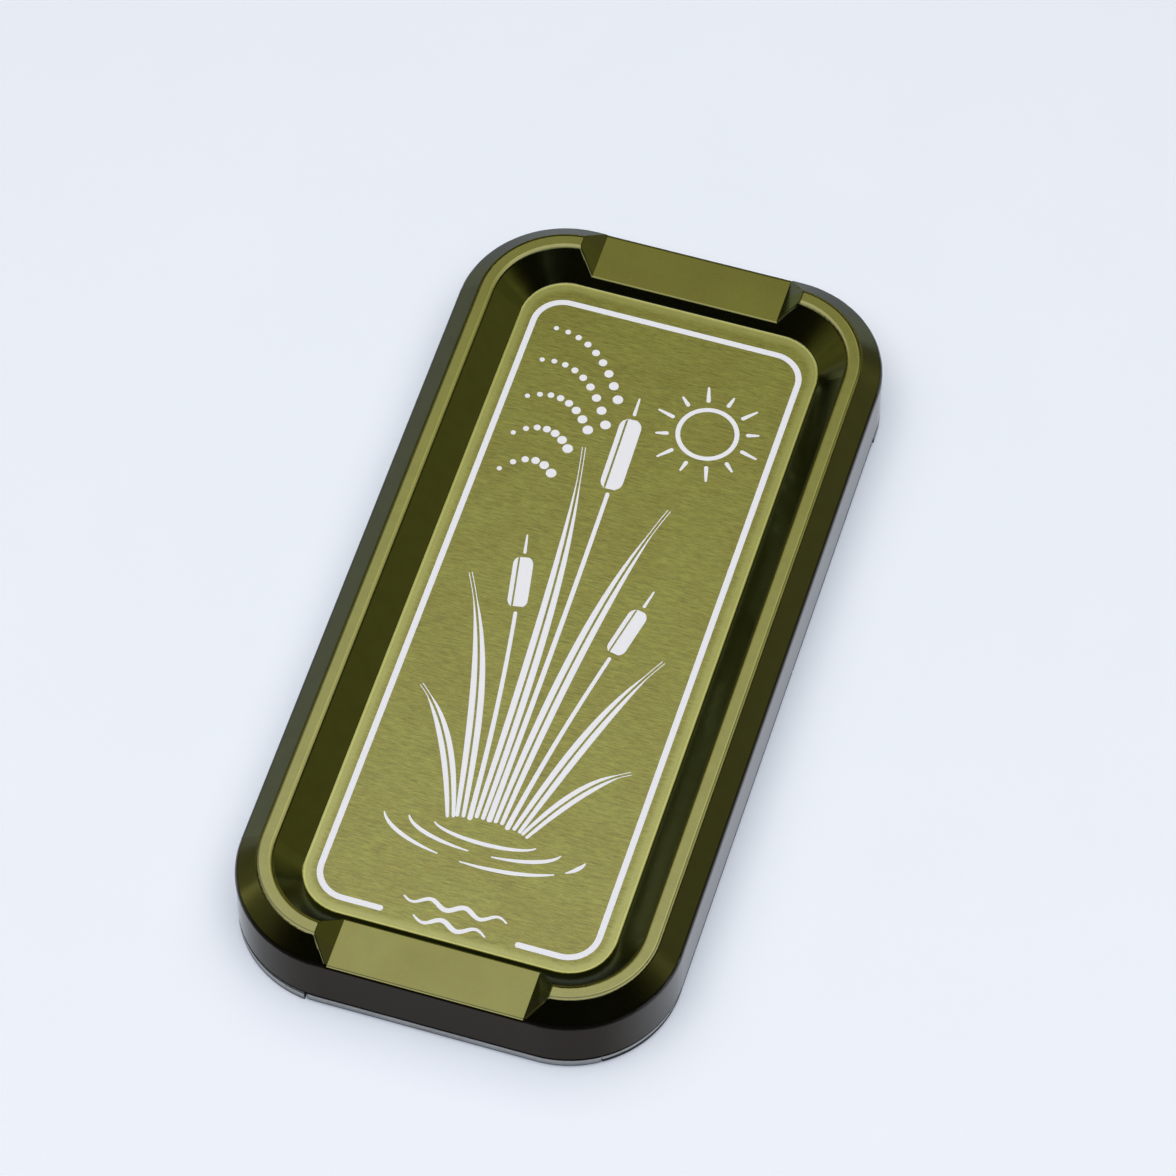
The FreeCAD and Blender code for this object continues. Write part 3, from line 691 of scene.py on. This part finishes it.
class Drawing:
    """Flat shapes on the panel, gathered into one thin mesh."""

    SUNK = 0.01

    def __init__(self, inlay):
        self.inlay = inlay
        self.shape = bmesh.new()
        self.low = (PANEL_TOP - self.SUNK) * MM
        self.high = PANEL_TOP * MM + inlay.thickness

    def level(self, points, height):
        return [self.shape.verts.new((point.x * MM, point.y * MM, height)) for point in points]

    def both(self, points):
        """The same points on the top and on the underside."""
        return self.level(points, self.high), self.level(points, self.low)

    def wall(self, ring_top, ring_low):
        count = len(ring_top)
        for i in range(count):
            j = (i + 1) % count
            self.shape.faces.new([ring_top[i], ring_top[j], ring_low[j], ring_low[i]])

    def strip(self, left, right, head=(), tail=()):
        """A long shape between two edges, with points that round off its head and its tail."""
        rings = []
        for height, order in ((self.high, 1), (self.low, -1)):
            one, two, front, back = (self.level(points, height) for points in (left, right, head, tail))
            faces = [[one[i], two[i], two[i + 1], one[i + 1]] for i in range(len(left) - 1)]
            if head:
                faces.append([one[-1], two[-1], *front[::-1]])
            if tail:
                faces.append([two[0], one[0], *back[::-1]])
            for face in faces:
                self.shape.faces.new(face[::order])
            rings.append([*one, *front, *two[::-1], *back])
        self.wall(*rings)

    def stroke(self, spots, widths, offset=None):
        """A stroke with round ends."""
        left, right = ribbon(spots, widths, offset)
        head = cap((left[-1] + right[-1]) / 2, spots[-1][1], widths[-1] / 2)
        tail = cap((left[0] + right[0]) / 2, -spots[0][1], widths[0] / 2)
        self.strip(left, right, head, tail)

    def dot(self, x, y, radius, steps=18):
        top, low = self.both(circle_points(x, y, radius, steps))
        self.shape.faces.new(top)
        self.shape.faces.new(low[::-1])
        self.wall(top[::-1], low[::-1])

    def ring(self, x, y, radius, width, steps=64):
        """A closed ring."""
        outer_top, outer_low = self.both(circle_points(x, y, radius + width / 2, steps))
        inner_top, inner_low = self.both(circle_points(x, y, radius - width / 2, steps))
        for i in range(steps):
            j = (i + 1) % steps
            self.shape.faces.new([outer_top[i], outer_top[j], inner_top[j], inner_top[i]])
            self.shape.faces.new([outer_low[j], outer_low[i], inner_low[i], inner_low[j]])
        self.wall(outer_top[::-1], outer_low[::-1])
        self.wall(inner_top, inner_low)

    def arc(self, x, y, radius_x, radius_y, start, end, width, count=24):
        """Part of an ellipse, thinner towards its ends; angles in degrees."""
        spots = []
        for i in range(count):
            turn = radians(start + (end - start) * i / (count - 1))
            place = Vector((x + radius_x * cos(turn), y + radius_y * sin(turn)))
            along = Vector((-radius_x * sin(turn), radius_y * cos(turn)))
            spots.append((place, along.normalized()))
        self.stroke(spots, swelling(width, count))

    def finished(self):
        bmesh.ops.recalc_face_normals(self.shape, faces=self.shape.faces)
        return self.shape


STROKE_TIP = 0.35


def swelling(width, count):
    """Widths along a stroke that is full in its middle and thinner towards its ends."""
    swell = [sin(pi * i / (count - 1)) for i in range(count)]
    return [width * (STROKE_TIP + (1 - STROKE_TIP) * share) for share in swell]


BORDER_MIDDLE = Vector((-0.11, -0.47))
BORDER_GAP = (-10.3, 9.7)
BORDER_STEPS = 12


def add_border(drawing):
    """The border: a rounded rectangle, open at the near end."""
    inlay = drawing.inlay
    half_x, half_y = inlay.border_half_x / MM, inlay.border_half_y / MM
    radius, width = inlay.border_radius / MM, inlay.border_width / MM
    near = BORDER_MIDDLE.y - half_y
    rightwards = Vector((1, 0))
    spots = [(Vector((BORDER_GAP[1], near)), rightwards)]
    for quarter, (sign_x, sign_y) in enumerate(((1, -1), (1, 1), (-1, 1), (-1, -1))):
        center = BORDER_MIDDLE + Vector((sign_x * (half_x - radius), sign_y * (half_y - radius)))
        for i in range(BORDER_STEPS + 1):
            turn = radians(-90 + 90 * quarter + 90 * i / BORDER_STEPS)
            out = Vector((cos(turn), sin(turn)))
            spots.append((center + out * radius, left_of(out)))
    spots.append((Vector((BORDER_GAP[0], near)), rightwards))
    drawing.stroke(spots, [width] * len(spots))


# Curve and width of each leaf.
LEAVES = (
    (((-5.6, -36.5), (-8.5, -27.0), (-12.0, -20.5), (-16.2, -17.0)), 1.9),
    (((-4.3, -36.0), (-7.0, -20.0), (-9.5, -8.0), (-15.4, 3.0)), 2.1),
    (((-1.6, -35.5), (-2.0, -12.0), (-3.2, 12.0), (-6.4, 28.5)), 2.2),
    (((1.2, -35.5), (2.0, -12.0), (4.2, 8.0), (8.6, 21.5)), 2.2),
    (((4.0, -36.0), (7.5, -22.0), (10.5, -12.0), (15.4, -3.5)), 2.1),
    (((5.3, -36.5), (9.0, -29.0), (12.5, -24.5), (16.4, -22.5)), 1.8),
)
LEAF_POINTS = 40
LEAF_SPLIT = 0.34
LEAF_THINNEST = 0.12
LEAF_ROOT = 0.22
# Curve and width of each stem, and length and width of its seed head.
STEMS = (
    (((-2.9, -36.0), (-4.4, -18.0), (-6.6, -4.0), (-9.6, 11.5)), 0.60, 9.0, 2.9),
    (((-0.2, -35.5), (-0.2, -10.0), (-0.4, 14.0), (-1.2, 39.0)), 0.66, 13.0, 3.3),
    (((2.6, -36.0), (4.6, -20.0), (7.0, -9.0), (10.6, 7.5)), 0.60, 8.5, 2.8),
)
STEM_POINTS = 160
STEM_TAPER = (1.25, 0.35)
TIP_LENGTH = 3.6
TIP_TAPER = (0.8, 0.4)
HEAD_CLEARANCE = 0.6
HEAD_MARGIN = 0.06
HEAD_PART = (0.19, 0.28)
PART_EDGE = 0.05


def leaf_width(t, width):
    """Width of a leaf at a share of its length: it swells soon after its root and ends in a point."""
    swell = sin(pi * min(1.0, 0.18 + 0.82 * t)) ** 0.8
    return width * (LEAF_ROOT + (1 - LEAF_ROOT) * swell) * (1 - t ** 6)


def add_leaf(drawing, controls, width):
    """A slender blade, split along its middle."""
    spots = curve_points(controls, LEAF_POINTS)
    blades = [leaf_width(i / (LEAF_POINTS - 1), width) for i in range(LEAF_POINTS)]
    halves = [max(LEAF_THINNEST, (blade - LEAF_SPLIT) / 2) for blade in blades]
    for sign in (-1, 1):
        drawing.stroke(spots, halves, [sign * (LEAF_SPLIT + half) / 2 for half in halves])


def tapered(width, taper, count):
    start, loss = taper
    return [width * (start - loss * i / count) for i in range(count)]


def add_reed(drawing, controls, width, head_length, head_width):
    """A stem with a round-ended seed head below its tip, the head parted by a fine gap towards its left."""
    spots = curve_points(controls, STEM_POINTS)
    lengths = [0.0]
    for (one, _), (two, _) in zip(spots, spots[1:]):
        lengths.append(lengths[-1] + (two - one).length)
    head_end = lengths[-1] - TIP_LENGTH
    head_start = head_end - head_length
    stem = [spot for spot, at in zip(spots, lengths) if at < head_start - HEAD_CLEARANCE]
    drawing.stroke(stem, tapered(width, STEM_TAPER, len(stem)))
    tip = [spot for spot, at in zip(spots, lengths) if at > head_end + HEAD_CLEARANCE]
    drawing.stroke(tip, tapered(width, TIP_TAPER, len(tip)))
    edges = [[], [], [], []]
    part_low, part_high = (share * head_width for share in HEAD_PART)
    for (place, along), at in zip(spots, lengths):
        if not head_start + HEAD_MARGIN < at < head_end - HEAD_MARGIN:
            continue
        from_end = min(at - head_start, head_end - at, head_width / 2) / (head_width / 2)
        half = head_width / 2 * sqrt(1 - (1 - from_end) ** 2)
        reaches = (half, min(part_high, half - PART_EDGE), min(part_low, half), -half)
        for edge, reach in zip(edges, reaches):
            edge.append(place + left_of(along) * reach)
    drawing.strip(*edges[:2])
    drawing.strip(*edges[2:])


def add_reeds(drawing):
    """Leaves and stems that spread from one foot."""
    for leaf in LEAVES:
        add_leaf(drawing, *leaf)
    for stem in STEMS:
        add_reed(drawing, *stem)


# Half width, half length, start and end angle of each arc round the foot of the reeds.
RIPPLES = ((7.6, 1.9, 195, 345), (11.2, 3.6, 188, 262), (11.2, 3.6, 280, 350), (14.8, 5.6, 190, 248),
           (14.8, 5.6, 262, 318), (14.8, 5.6, 328, 352))
RIPPLE_PLACE = (0.0, -37.6)
RIPPLE_WIDTH = 0.62
# Half length and place along the box of each wave.
WAVES = ((7.4, -50.6), (5.2, -53.4))
WAVE_MIDDLE = -0.3
WAVE_LENGTH = 4.9
WAVE_RISE = 0.55
WAVE_WIDTH = 0.75
WAVE_POINTS = 60


def add_ripples(drawing):
    """Rings on the water round the foot of the reeds, and waves across the border's gap."""
    for ripple in RIPPLES:
        drawing.arc(*RIPPLE_PLACE, *ripple, RIPPLE_WIDTH)
    pace = 2 * pi / WAVE_LENGTH
    for row, (half, y) in enumerate(WAVES):
        spots = []
        for i in range(WAVE_POINTS):
            x = -half + 2 * half * i / (WAVE_POINTS - 1)
            turn = pace * x + row * pi
            along = Vector((1.0, WAVE_RISE * pace * cos(turn))).normalized()
            spots.append((Vector((x + WAVE_MIDDLE, y + WAVE_RISE * sin(turn))), along))
        drawing.stroke(spots, swelling(WAVE_WIDTH, WAVE_POINTS))


SUN_PLACE = Vector((10.0, 36.0))
SUN_RADIUS = 4.3
SUN_WIDTH = 0.7
RAYS = 12
RAY_START = 5.9
RAY_LENGTHS = (1.5, 2.3)
RAY_WIDTHS = (0.62, 0.58, 0.5, 0.42, 0.34)
# Curve and number of seeds of each trail.
SEED_TRAILS = (
    (((-4.2, 38.0), (-7.5, 44.0), (-11.5, 47.6), (-16.6, 47.6)), 9),
    (((-4.6, 33.2), (-8.0, 39.6), (-12.0, 42.8), (-16.9, 41.6)), 9),
    (((-6.8, 31.6), (-9.8, 35.6), (-13.0, 37.2), (-17.0, 34.8)), 8),
    (((-8.6, 27.6), (-11.0, 30.4), (-13.8, 31.0), (-17.0, 28.0)), 7),
    (((-9.6, 22.8), (-11.8, 25.0), (-14.4, 24.8), (-17.0, 21.4)), 6),
)
SEED_RADIUS = 0.78
SEED_LOSS = 0.4


def add_sky(drawing):
    """A sun with short rays, and seeds that drift off in trails, smaller as they go."""
    drawing.ring(*SUN_PLACE, SUN_RADIUS, SUN_WIDTH)
    for i in range(RAYS):
        turn = 2 * pi * (i + 0.5) / RAYS
        out = Vector((cos(turn), sin(turn)))
        step = RAY_LENGTHS[i % 2] / (len(RAY_WIDTHS) - 1)
        spots = [(SUN_PLACE + out * (RAY_START + step * j), out) for j in range(len(RAY_WIDTHS))]
        drawing.stroke(spots, RAY_WIDTHS)
    for controls, count in SEED_TRAILS:
        for i, (place, _) in enumerate(curve_points(controls, count)):
            drawing.dot(*place, SEED_RADIUS - SEED_LOSS * i / (count - 1))


DRAWINGS = {"panel_border": add_border, "panel_reeds": add_reeds, "panel_ripples": add_ripples,
            "panel_sky": add_sky}


class FLYBOX_OT_lid_shell(bpy.types.Operator):
    """Finish the machined lid"""

    bl_idname = "flybox.lid_shell"
    bl_label = "Lid shell"

    def execute(self, context):
        dress(["lid_shell"], olive_anodise(context.scene.fly_box_finish))
        return {"FINISHED"}


class FLYBOX_OT_inlay(bpy.types.Operator):
    """Lay the white border and the reed picture into the lid's panel"""

    bl_idname = "flybox.inlay"
    bl_label = "Panel inlay"

    def execute(self, context):
        material = white_inlay(context.scene.fly_box_finish)
        for name, draw in DRAWINGS.items():
            drawing = Drawing(context.scene.fly_box_inlay)
            draw(drawing)
            new_piece(name, drawing.finished(), material, "lid")
        return {"FINISHED"}


class FLYBOX_OT_fly_sheet(bpy.types.Operator):
    """Make the rubber sheet inside the lid"""

    bl_idname = "flybox.fly_sheet"
    bl_label = "Lid fly sheet"

    def execute(self, context):
        finish = context.scene.fly_box_finish
        material = rubber("sheet_rubber", finish.sheet, finish.rubber_dust, scale=3.2, roughness=0.6,
                          bump=0.9, contrast=1.5)
        eased_copy("lid_fly_sheet", 0.2, material, "lid")
        return {"FINISHED"}


class FLYBOX_OT_fly_mat(bpy.types.Operator):
    """Make the ribbed and slit mat in the tray"""

    bl_idname = "flybox.fly_mat"
    bl_label = "Base fly mat"

    def execute(self, context):
        finish = context.scene.fly_box_finish
        material = rubber("mat_silicone", finish.mat, finish.rubber_dust, scale=9.0, roughness=0.5,
                          bump=0.35, contrast=0.4)
        eased_copy("base_fly_mat", 0.14, material, "base", segments=2)
        return {"FINISHED"}


class FLYBOX_OT_tray(bpy.types.Operator):
    """Finish the tray"""

    bl_idname = "flybox.tray"
    bl_label = "Base tray"

    def execute(self, context):
        dress(["base_tray"], tray_anodise(context.scene.fly_box_finish))
        return {"FINISHED"}


class FLYBOX_OT_hinge(bpy.types.Operator):
    """Finish the hinge's leaves, pin and screws"""

    bl_idname = "flybox.hinge"
    bl_label = "Hinge"

    def execute(self, context):
        finish = context.scene.fly_box_finish
        dress(["lid_hinge_leaf", "base_hinge_leaf", "hinge_pin"], brushed_steel(finish))
        dress(["lid_hinge_screws", "base_hinge_screws"], turned_steel(finish))
        return {"FINISHED"}


class FLYBOX_OT_magnets(bpy.types.Operator):
    """Finish the closing magnets"""

    bl_idname = "flybox.magnets"
    bl_label = "Magnets"

    def execute(self, context):
        dress(["lid_magnet_near", "lid_magnet_far", "base_magnet_near", "base_magnet_far"],
              plated_nickel(context.scene.fly_box_finish))
        return {"FINISHED"}


class FLYBOX_OT_edge_seals(bpy.types.Operator):
    """Make the grey strip round the foot, in its five lengths"""

    bl_idname = "flybox.edge_seals"
    bl_label = "Edge seals"

    def execute(self, context):
        finish = context.scene.fly_box_finish
        ends = seal_rubber("seal_rubber", finish, foot=0.5)
        # The right lengths carry a taller painted shadow at their foot.
        right = seal_rubber("seal_rubber_right_shaded", finish, foot=1.0)
        finishes = {"near": ends, "right_near": right, "right_far": right, "far": ends, "left": ends}
        for place, material in finishes.items():
            eased_copy(f"edge_seal_{place}", 0.18, material, "base")
        return {"FINISHED"}


def make_camera(stage):
    camera = bpy.data.cameras.new("camera")
    camera.lens = stage.lens
    camera.sensor_width = 36.0
    camera.clip_end = 20.0
    holder = new_object("camera", camera)
    holder.location = stage.camera_place
    holder.rotation_euler = stage.camera_turn
    bpy.context.scene.camera = holder


def seen_directly(tree):
    """1 for rays from the camera, a reflection or a see-through surface."""
    path = add(tree, "ShaderNodeLightPath").outputs
    seen = calc("MAXIMUM", path["Is Camera Ray"], path["Is Glossy Ray"])
    return calc("MAXIMUM", seen, path["Is Transmission Ray"])


def stage_mesh(name, verts, faces, material):
    mesh = bpy.data.meshes.new(name)
    mesh.from_pydata(verts, [], faces)
    mesh.materials.append(material)
    thing = new_object(name, mesh)
    return thing


def rectangle(across, along, height):
    """Corners of a level rectangle between two limits in X and two in Y."""
    (left, right), (near, far) = across, along
    return [(left, near, height), (right, near, height), (right, far, height), (left, far, height)]


TABLE_LIMITS = (-6.0, 6.0)
TABLE_DROP = 0.05 * MM
TABLE_FADE = (0.4, 1.4)


def make_table(stage):
    """Pale table: a faintly mottled matt top that keeps the box's shadow."""
    material, tree, sockets = new_material("pale_table", Specular_IOR_Level=0.0, Roughness=0.9)
    place = coordinates(tree, "Object")
    mottle = noise(place, 60.0, detail=4.0, roughness=0.6)
    feed(sockets["Base Color"], scaled(stage.table, plus(0.985, mottle, 0.03)))
    away = add(tree, "ShaderNodeVectorMath", {"operation": "LENGTH"}, Vector=place).outputs["Value"]
    color = mix(ramp(away, *TABLE_FADE), stage.table_glow, stage.table_far)
    glow = add(tree, "ShaderNodeEmission", Color=color, Strength=seen_directly(tree))
    joined = add(tree, "ShaderNodeAddShader")
    feed(joined.inputs[0], tree.nodes["Principled BSDF"].outputs[0])
    feed(joined.inputs[1], glow.outputs[0])
    feed(tree.nodes["Material Output"].inputs["Surface"], joined.outputs[0])
    stage_mesh("table", rectangle(TABLE_LIMITS, TABLE_LIMITS, -TABLE_DROP), [(0, 1, 2, 3)], material)


def emission_material(name):
    """A material that only glows."""
    material, tree, _ = new_material(name)
    tree.nodes.remove(tree.nodes["Principled BSDF"])
    glow = add(tree, "ShaderNodeEmission")
    feed(tree.nodes["Material Output"].inputs["Surface"], glow.outputs[0])
    return material, tree, glow.inputs


SOFTBOX_X = (-1.3, 0.6)
SOFTBOX_Y = (-0.55, 0.85)
SOFTBOX_Z = 0.78
SOFTBOX_FAR_FADE = (0.33, 0.85)
SOFTBOX_LEFT_FADE = (-0.95, -0.3)
SOFTBOX_TINT_FADE = (0.25, 0.70)
SOFTBOX_NEAR_TINT = (0.99, 0.99, 1.22)
SOFTBOX_FAR_TINT = (1.05, 1.07, 0.5)


def make_softbox(stage):
    """Overhead softbox, bluish and bright over the near end, warmer and dimmer towards the far end."""
    material, tree, sockets = emission_material("softbox_cloth")
    axes = axes_of(coordinates(tree, "Object"))
    lit = ramp(axes["Y"], *SOFTBOX_FAR_FADE, stage.softbox, 0.0)
    feed(sockets["Strength"], times(lit, ramp(axes["X"], *SOFTBOX_LEFT_FADE)))
    feed(sockets["Color"], mix(ramp(axes["Y"], *SOFTBOX_TINT_FADE), SOFTBOX_NEAR_TINT, SOFTBOX_FAR_TINT))
    box = stage_mesh("softbox", rectangle(SOFTBOX_X, SOFTBOX_Y, SOFTBOX_Z), [(0, 3, 2, 1)], material)
    box.visible_camera = False


# Limits in X, Y and Z, softness of the edges and strength of parts of the surround.
SURROUND_PATCHES = (
    (((0.7, 2.0), (0.9, 2.0), (-0.5, 0.16)), 0.3, 0.24),
    (((-2.0, -1.2), (0.0, 0.65), (-0.5, 0.16)), 0.2, 0.30),
    (((-2.0, -1.2), (-0.65, -0.15), (0.36, 0.46)), 0.11, 0.75),
    (((1.2, 2.0), (0.25, 0.50), (0.55, 0.68)), 0.15, 0.20),
)
SURROUND_DIMMED = (((-2.0, -0.5), (1.0, 2.0), (0.0, 2.0)), 0.3, -0.7)
SURROUND_COOL = (((-2.0, -1.0), (0.75, 1.3), (-0.5, 0.10)), 0.2, 1.0)
COOL_STRENGTH = 0.25
WALL_RISE, WALL_FALL, WALL_STRENGTH = (0.16, 0.37), (0.70, 0.95), 0.30
FOOT_RISE, FOOT_FALL, FOOT_STRENGTH = (0.20, 0.34), (0.42, 0.56), 0.12
SURROUND_LEAST = 0.012
WARM_TINT = (1.0, 0.93, 0.42)
COOL_TINT = (1.08, 1.02, 0.95)
DOME_RADIUS = 1.8
DOME_ROWS = 12
DOME_COLUMNS = 48
DOME_START = -2


def lit_patch(axes, box, soft, strength):
    """A part of the surround, between limits in X, Y and Z, with soft edges."""
    lit = strength
    for axis, (low, high) in zip("XYZ", box):
        inside = times(ramp(axes[axis], low - soft, low), fall(axes[axis], high, high + soft))
        lit = times(inside, lit)
    return lit


def dome_mesh():
    """Corners and faces of a dome over the table."""
    verts = []
    for row in range(DOME_ROWS + 1):
        rise = radians(DOME_START + 90 * row / DOME_ROWS)
        for column in range(DOME_COLUMNS):
            turn = 2 * pi * column / DOME_COLUMNS
            verts.append((DOME_RADIUS * cos(rise) * cos(turn),
                          DOME_RADIUS * cos(rise) * sin(turn), DOME_RADIUS * sin(rise)))
    faces = []
    for row in range(DOME_ROWS):
        low, high = row * DOME_COLUMNS, (row + 1) * DOME_COLUMNS
        for column in range(DOME_COLUMNS):
            following = (column + 1) % DOME_COLUMNS
            faces.append((low + column, low + following, high + following, high + column))
    return verts, faces


def make_surround():
    """Dim studio round the table: a lit band of wall low down, some patches, and dark above it."""
    material, tree, sockets = emission_material("surround_cloth")
    axes = axes_of(coordinates(tree, "Object"))
    height = axes["Z"]
    wall = times(ramp(height, *WALL_RISE), fall(height, *WALL_FALL))
    wall = times(wall, calc("ADD", 1.0, lit_patch(axes, *SURROUND_DIMMED)))
    foot = times(ramp(height, *FOOT_RISE), fall(height, *FOOT_FALL))
    cool = lit_patch(axes, *SURROUND_COOL)
    lit = plus(SURROUND_LEAST, wall, WALL_STRENGTH)
    lit = plus(lit, foot, FOOT_STRENGTH)
    lit = plus(lit, cool, COOL_STRENGTH)
    for patch in SURROUND_PATCHES:
        lit = calc("ADD", lit, lit_patch(axes, *patch))
    feed(sockets["Strength"], lit)
    feed(sockets["Color"], mix(cool, WARM_TINT, COOL_TINT))
    dome = stage_mesh("surround", *dome_mesh(), material)
    dome.visible_camera = False


KEY_PLACE = Vector((0.03, -0.14, 0.74))
KEY_SIZE = 0.7


def make_key_lamp(stage):
    """Overhead lamp under the softbox, which lights the table and the open box."""
    lamp = bpy.data.lights.new("key", "AREA")
    lamp.energy = stage.key_power
    lamp.shape = "DISK"
    lamp.size = KEY_SIZE
    holder = new_object("key", lamp)
    holder.location = KEY_PLACE
    holder.rotation_euler = (-KEY_PLACE).to_track_quat("-Z", "Y").to_euler()
    holder.visible_glossy = False


WORLD_TINT = (0.93, 0.96, 1.0)
WORLD_FILL = 0.25


def make_world():
    """White behind everything that is seen directly; a low grey fill otherwise."""
    world = bpy.data.worlds.new("studio")
    world.use_nodes = True
    tree = world.node_tree
    sockets = tree.nodes["Background"].inputs
    feed(sockets["Strength"], ramp(seen_directly(tree), 0.0, 1.0, WORLD_FILL, 1.0))
    feed(sockets["Color"], rgba(WORLD_TINT))
    bpy.context.scene.world = world


class FLYBOX_OT_stage(bpy.types.Operator):
    """Set up the table, light and camera"""

    bl_idname = "flybox.stage"
    bl_label = "Stage"

    def execute(self, context):
        stage = context.scene.fly_box_stage
        make_camera(stage)
        make_table(stage)
        make_softbox(stage)
        make_surround()
        make_key_lamp(stage)
        make_world()
        context.scene.view_settings.view_transform = "Standard"
        return {"FINISHED"}


OPERATORS = (FLYBOX_OT_lid_shell, FLYBOX_OT_inlay, FLYBOX_OT_fly_sheet, FLYBOX_OT_fly_mat, FLYBOX_OT_tray,
             FLYBOX_OT_hinge, FLYBOX_OT_magnets, FLYBOX_OT_edge_seals, FLYBOX_OT_stage)


class FLYBOX_PT_panel(bpy.types.Panel):
    """Steps that dress the box, and the values they use"""

    bl_idname = "FLYBOX_PT_panel"
    bl_label = "Fly Box"
    bl_space_type = "VIEW_3D"
    bl_region_type = "UI"
    bl_category = "Fly Box"

    def draw(self, context):
        for operator in OPERATORS:
            self.layout.operator(operator.bl_idname)
        for name, group in GROUPS.items():
            column = self.layout.column()
            for value in group.__annotations__:
                column.prop(getattr(context.scene, name), value)


GROUPS = {"fly_box_finish": FlyBoxFinish, "fly_box_inlay": FlyBoxInlay, "fly_box_stage": FlyBoxStage}


def register():
    for item in (*GROUPS.values(), *OPERATORS, FLYBOX_PT_panel):
        bpy.utils.register_class(item)
    for name, group in GROUPS.items():
        setattr(bpy.types.Scene, name, PointerProperty(type=group))


def unregister():
    for name in GROUPS:
        delattr(bpy.types.Scene, name)
    for item in (FLYBOX_PT_panel, *reversed(OPERATORS), *GROUPS.values()):
        bpy.utils.unregister_class(item)


def main():
    register()
    bpy.context.view_layer.update()
    for operator in OPERATORS:
        section, step = operator.bl_idname.split(".")
        getattr(getattr(bpy.ops, section), step)()
    bpy.context.view_layer.update()


if __name__ == "__main__":
    main()
